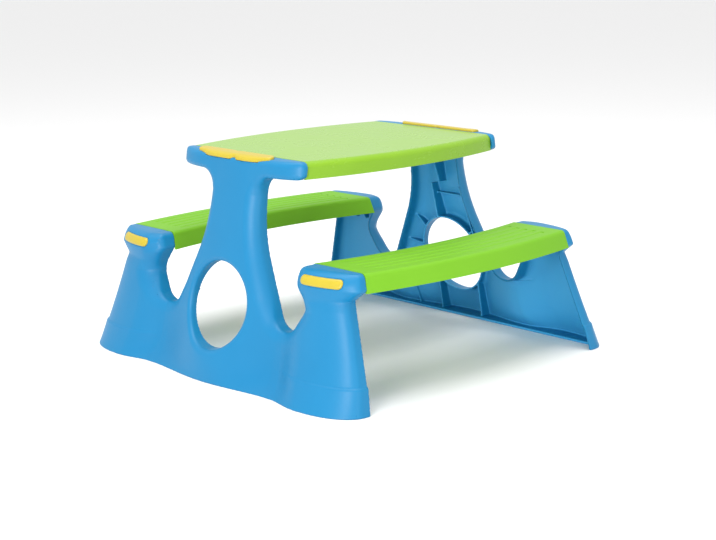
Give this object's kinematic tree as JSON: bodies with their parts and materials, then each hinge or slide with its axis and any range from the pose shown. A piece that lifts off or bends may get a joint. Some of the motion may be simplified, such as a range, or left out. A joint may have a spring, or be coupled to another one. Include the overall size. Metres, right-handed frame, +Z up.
{
  "type": "kids picnic table",
  "caption": "Moulded plastic picnic table for small children: two hollow end frames carry a bowed table top and two bowed benches.",
  "frame": {"origin": "on the floor, under the middle of the table top", "axes": "+X along the benches towards the right end frame, +Y across them towards the rear bench, +Z up"},
  "size_m": [0.867, 0.9, 0.485],
  "materials": {
    "frame_blue": "moulded blue polypropylene with a satin surface",
    "seat_green": "moulded lime green polypropylene with a satin surface",
    "trim_yellow": "moulded yellow plastic, slightly glossy",
    "screw_steel": "zinc-plated steel"
  },
  "bodies": {
    "root": {"end_frame_left": "frame_blue", "end_frame_right": "frame_blue", "table_top": "seat_green", "bench_front": "seat_green", "bench_rear": "seat_green", "table_trim_left": "trim_yellow", "table_trim_right": "trim_yellow", "bench_trim_front_left": "trim_yellow", "bench_trim_front_right": "trim_yellow", "bench_trim_rear_left": "trim_yellow", "bench_trim_rear_right": "trim_yellow", "table_screws": "screw_steel", "front_bench_screws": "screw_steel", "rear_bench_screws": "screw_steel"}
  },
  "joints": []
}
